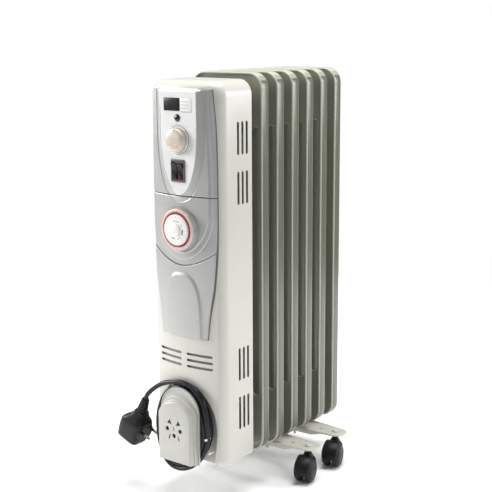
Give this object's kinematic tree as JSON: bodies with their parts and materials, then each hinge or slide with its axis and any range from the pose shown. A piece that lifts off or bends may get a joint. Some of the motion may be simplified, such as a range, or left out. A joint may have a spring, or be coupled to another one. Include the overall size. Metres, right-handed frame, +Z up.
{
  "type": "oil filled radiator heater",
  "caption": "Free standing oil filled column heater with pressed steel fins, a control box with thermostat, switches and timer, a cord winder and swivel castors.",
  "frame": {"origin": "on the floor, under the middle of the heater's footprint, its cord and plug left out", "axes": "+Z up; the control box faces -Y and the fins follow each other towards +Y; +X is the right side seen from the control box's front"},
  "size_m": [0.2624, 0.3396, 0.633],
  "materials": {
    "paint": "cream white powder coat, satin",
    "trim": "silver grey lacquered plastic",
    "cover": "warm grey moulded plastic",
    "black": "black moulded nylon",
    "rubber": "black PVC and rubber",
    "knob": "champagne metallised plastic",
    "window": "dark smoked plastic",
    "white": "white moulded plastic",
    "red": "red moulded plastic",
    "steel": "zinc plated steel",
    "brass": "brass",
    "board": "moulded insulating plastic"
  },
  "bodies": {
    "heater": {"fin_1": "paint", "fin_2": "paint", "fin_3": "paint", "fin_4": "paint", "fin_5": "paint", "fin_6": "paint", "fin_7": "paint", "box_shell": "paint", "winder_well": "paint", "foot_bracket_front": "paint", "foot_bracket_rear": "paint", "upper_trim": "trim", "timer_trim": "trim", "lower_trim": "trim", "knob_bezel": "trim", "timer_bezel": "trim", "winder_cover": "cover", "winder_hub": "cover", "switch_housing": "black", "cord_gland": "rubber", "cord_coil": "rubber", "cord_tail": "rubber", "plug_body": "rubber", "supply_wire": "rubber", "display_window": "window", "pilot_lamp": "window", "rating_label": "white", "cord_peg": "white", "heating_element": "steel", "heat_shield": "steel", "thermal_cutout": "steel", "u_bolt_front": "steel", "u_bolt_rear": "steel", "wing_nut_front_left": "steel", "wing_nut_front_right": "steel", "wing_nut_rear_left": "steel", "wing_nut_rear_right": "steel", "plug_pin_1": "brass", "plug_pin_2": "brass", "thermostat_body": "board", "timer_body": "board", "terminal_block": "board"},
    "thermostat_knob": {"thermostat_knob": "knob"},
    "timer_dial": {"timer_dial": "white", "timer_tappet_ring": "red"},
    "rocker_left": {"rocker_left": "black"},
    "rocker_right": {"rocker_right": "black"},
    "castor_front_left": {"hood_front_left": "black"},
    "wheel_front_left_a": {"wheel_front_left_a": "black"},
    "wheel_front_left_b": {"wheel_front_left_b": "black"},
    "castor_front_right": {"hood_front_right": "black"},
    "wheel_front_right_a": {"wheel_front_right_a": "black"},
    "wheel_front_right_b": {"wheel_front_right_b": "black"},
    "castor_rear_left": {"hood_rear_left": "black"},
    "wheel_rear_left_a": {"wheel_rear_left_a": "black"},
    "wheel_rear_left_b": {"wheel_rear_left_b": "black"},
    "castor_rear_right": {"hood_rear_right": "black"},
    "wheel_rear_right_a": {"wheel_rear_right_a": "black"},
    "wheel_rear_right_b": {"wheel_rear_right_b": "black"}
  },
  "joints": [
    {"name": "thermostat_turn", "type": "hinge", "parent": "heater", "child": "thermostat_knob", "pos_m": [0, -0.14925, 0.542], "axis": [0, -1, 0], "range_deg": [0, 280]},
    {"name": "timer_turn", "type": "hinge", "parent": "heater", "child": "timer_dial", "pos_m": [0, -0.13475, 0.4135], "axis": [0, -1, 0], "continuous": true},
    {"name": "rocker_left_tip", "type": "hinge", "parent": "heater", "child": "rocker_left", "pos_m": [-0.0052, -0.14725, 0.498], "axis": [1, 0, 0], "range_deg": [-16, 0]},
    {"name": "rocker_right_tip", "type": "hinge", "parent": "heater", "child": "rocker_right", "pos_m": [0.0052, -0.14725, 0.498], "axis": [1, 0, 0], "range_deg": [-16, 0]},
    {"name": "swivel_front_left", "type": "hinge", "parent": "heater", "child": "castor_front_left", "pos_m": [-0.105, 0.02675, 0.05], "axis": [0, 0, 1], "continuous": true},
    {"name": "roll_front_left_a", "type": "hinge", "parent": "castor_front_left", "child": "wheel_front_left_a", "pos_m": [-0.10909, 0.01336, 0.0195], "axis": [0.9563, -0.2924, 0], "continuous": true},
    {"name": "roll_front_left_b", "type": "hinge", "parent": "castor_front_left", "child": "wheel_front_left_b", "pos_m": [-0.10909, 0.01336, 0.0195], "axis": [0.9563, -0.2924, 0], "continuous": true},
    {"name": "swivel_front_right", "type": "hinge", "parent": "heater", "child": "castor_front_right", "pos_m": [0.105, 0.02675, 0.05], "axis": [0, 0, 1], "continuous": true},
    {"name": "roll_front_right_a", "type": "hinge", "parent": "castor_front_right", "child": "wheel_front_right_a", "pos_m": [0.10909, 0.01336, 0.0195], "axis": [0.9563, 0.2924, 0], "continuous": true},
    {"name": "roll_front_right_b", "type": "hinge", "parent": "castor_front_right", "child": "wheel_front_right_b", "pos_m": [0.10909, 0.01336, 0.0195], "axis": [0.9563, 0.2924, 0], "continuous": true},
    {"name": "swivel_rear_left", "type": "hinge", "parent": "heater", "child": "castor_rear_left", "pos_m": [-0.105, 0.10375, 0.05], "axis": [0, 0, 1], "continuous": true},
    {"name": "roll_rear_left_a", "type": "hinge", "parent": "castor_rear_left", "child": "wheel_rear_left_a", "pos_m": [-0.10909, 0.09036, 0.0195], "axis": [0.9563, -0.2924, 0], "continuous": true},
    {"name": "roll_rear_left_b", "type": "hinge", "parent": "castor_rear_left", "child": "wheel_rear_left_b", "pos_m": [-0.10909, 0.09036, 0.0195], "axis": [0.9563, -0.2924, 0], "continuous": true},
    {"name": "swivel_rear_right", "type": "hinge", "parent": "heater", "child": "castor_rear_right", "pos_m": [0.105, 0.10375, 0.05], "axis": [0, 0, 1], "continuous": true},
    {"name": "roll_rear_right_a", "type": "hinge", "parent": "castor_rear_right", "child": "wheel_rear_right_a", "pos_m": [0.10909, 0.09036, 0.0195], "axis": [0.9563, 0.2924, 0], "continuous": true},
    {"name": "roll_rear_right_b", "type": "hinge", "parent": "castor_rear_right", "child": "wheel_rear_right_b", "pos_m": [0.10909, 0.09036, 0.0195], "axis": [0.9563, 0.2924, 0], "continuous": true}
  ]
}
